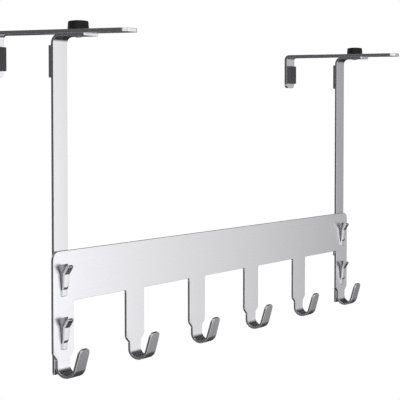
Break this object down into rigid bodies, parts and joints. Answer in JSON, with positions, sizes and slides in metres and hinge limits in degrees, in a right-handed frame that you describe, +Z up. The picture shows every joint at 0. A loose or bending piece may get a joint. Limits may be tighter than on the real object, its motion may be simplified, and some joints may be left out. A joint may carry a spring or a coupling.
{
  "type": "over door hook",
  "caption": "Brushed steel coat rack that hangs over a door, with J hooks, small hooks and clamp plates that adjust to the door's thickness.",
  "frame": {"origin": "on the door's top front edge, midway between the two straps: the plane of the clamp plates' undersides and of the pads' backs", "axes": "+X along the rack to the right as seen from the front, +Y into the door, +Z up; the hooks point to -Y"},
  "size_m": [0.4, 0.0849, 0.1863],
  "materials": {
    "steel_sheet": "brushed lengthways, satin",
    "steel_screw": "plain turned",
    "black_knob": "matt, slightly worn smooth",
    "pad_rubber": "matt foam rubber"
  },
  "bodies": {
    "rack": {"hook_rack": "steel_sheet", "left_strap": "steel_sheet", "right_strap": "steel_sheet", "left_upper_pad": "pad_rubber", "right_upper_pad": "pad_rubber", "left_lower_pad": "pad_rubber", "right_lower_pad": "pad_rubber"},
    "left_clamp": {"left_clamp_plate": "steel_sheet", "left_rear_pad": "pad_rubber"},
    "right_clamp": {"right_clamp_plate": "steel_sheet", "right_rear_pad": "pad_rubber"},
    "left_thumb_screw": {"left_knob": "black_knob", "left_clamp_screw": "steel_screw"},
    "right_thumb_screw": {"right_knob": "black_knob", "right_clamp_screw": "steel_screw"}
  },
  "joints": [
    {"name": "left_clamp_slide", "type": "slide", "parent": "rack", "child": "left_clamp", "axis": [0, 1, 0], "range_m": [-0.02, 0.02]},
    {"name": "right_clamp_slide", "type": "slide", "parent": "rack", "child": "right_clamp", "axis": [0, 1, 0], "range_m": [-0.02, 0.02]},
    {"name": "left_thumb_screw_turn", "type": "hinge", "parent": "rack", "child": "left_thumb_screw", "pos_m": [-0.19, -0.014, 0.002], "axis": [0, 0, 1], "range_deg": [0, 720]},
    {"name": "right_thumb_screw_turn", "type": "hinge", "parent": "rack", "child": "right_thumb_screw", "pos_m": [0.19, -0.014, 0.002], "axis": [0, 0, 1], "range_deg": [0, 720]}
  ]
}
